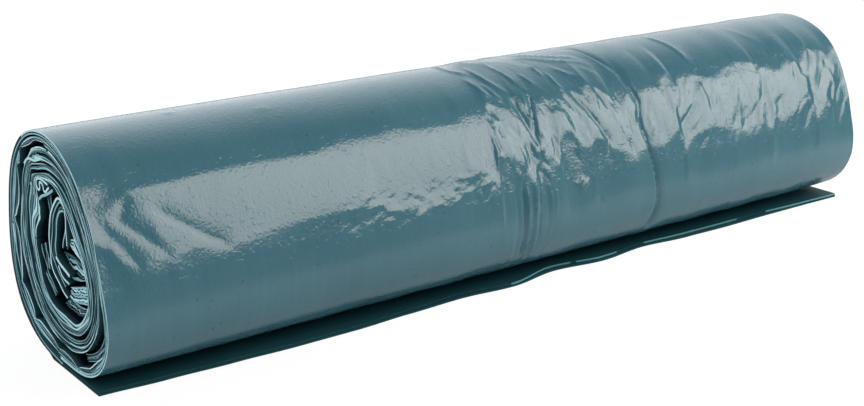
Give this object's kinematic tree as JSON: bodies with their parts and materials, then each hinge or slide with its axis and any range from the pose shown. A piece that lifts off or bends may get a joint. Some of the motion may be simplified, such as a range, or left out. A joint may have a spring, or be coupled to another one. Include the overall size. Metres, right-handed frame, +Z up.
{
  "type": "bin bag roll",
  "caption": "Soft coreless roll of folded plastic film bags, lying on its side with the loose end of the film flat under it.",
  "frame": {"origin": "middle of the footprint, on the surface that the roll lies on", "axes": "+X along the roll, -Y the front, where the loose end of the film points, +Z up"},
  "size_m": [0.35, 0.0784, 0.0792],
  "materials": {
    "film": "glossy thin film"
  },
  "bodies": {
    "root": {"bag_roll": "film"}
  },
  "joints": []
}
